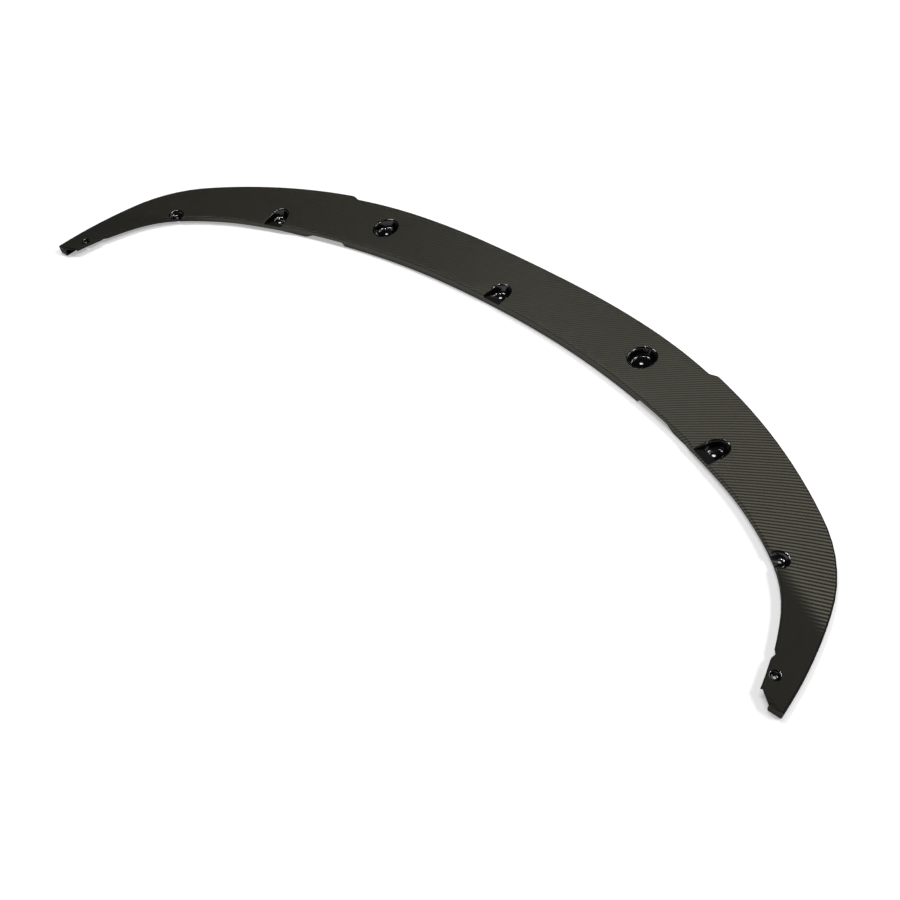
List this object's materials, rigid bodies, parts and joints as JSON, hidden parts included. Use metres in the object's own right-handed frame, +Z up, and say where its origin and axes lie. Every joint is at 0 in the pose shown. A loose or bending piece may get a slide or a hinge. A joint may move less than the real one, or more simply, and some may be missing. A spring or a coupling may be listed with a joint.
{
  "type": "front splitter lip",
  "caption": "Crescent front splitter lip in carbon laminate, with moulded screw recesses, a rear flange and a closed bead under its front edge.",
  "frame": {"origin": "centre of the bounding box's lower face: the plane of the flanges that meet the bumper, on which the lip lies upside down", "axes": "+Z up, out of the flat road side, which faces up; +Y from the car's middle to the front edge; +X along the car's width"},
  "size_m": [1.7476, 0.5655, 0.018],
  "materials": {
    "carbon_laminate": "satin clear coat over a fine 2 by 2 carbon twill, glossy in the recesses"
  },
  "bodies": {
    "root": {"splitter_lip": "carbon_laminate"}
  },
  "joints": []
}
